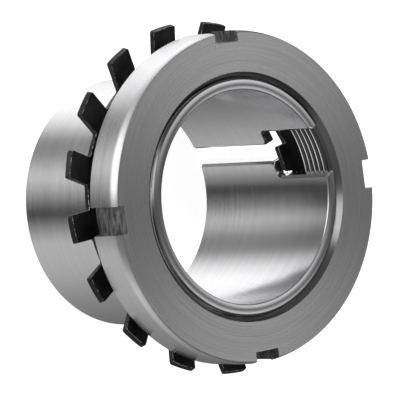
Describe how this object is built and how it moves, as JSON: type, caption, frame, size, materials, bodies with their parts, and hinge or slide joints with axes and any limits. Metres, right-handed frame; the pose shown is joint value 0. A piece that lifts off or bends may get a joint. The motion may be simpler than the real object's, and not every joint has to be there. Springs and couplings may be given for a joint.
{
  "type": "bearing adapter sleeve",
  "caption": "Split sleeve with a 1:12 cone and a threaded end, with a slotted lock nut and a tabbed lock washer, that grips a shaft inside a taper-bore bearing.",
  "frame": {"origin": "centre of the sleeve's large-end face, on the shaft axis", "axes": "+Z along the shaft axis towards the nut, +X through the middle of the slit"},
  "size_m": [0.0748, 0.0744, 0.0422],
  "materials": {
    "turned_steel": "ground and turned bright steel",
    "nut_steel": "turned bright steel",
    "black_sheet": "black oxide on sheet steel"
  },
  "bodies": {
    "sleeve_body": {"sleeve": "turned_steel"},
    "washer_body": {"lock_washer": "black_sheet"},
    "nut_body": {"lock_nut": "nut_steel"}
  },
  "joints": [
    {"name": "washer_slide", "type": "slide", "parent": "sleeve_body", "child": "washer_body", "axis": [0, 0, 1], "range_m": [0, 0.009]},
    {"name": "nut_turn", "type": "hinge", "parent": "washer_body", "child": "nut_body", "pos_m": [0, 0, 0], "axis": [0, 0, 1], "range_deg": [0, 2160]}
  ],
  "couplings": [
    {"joint": "washer_slide", "follows": "nut_turn", "m_per_rad": 0.00023873}
  ]
}
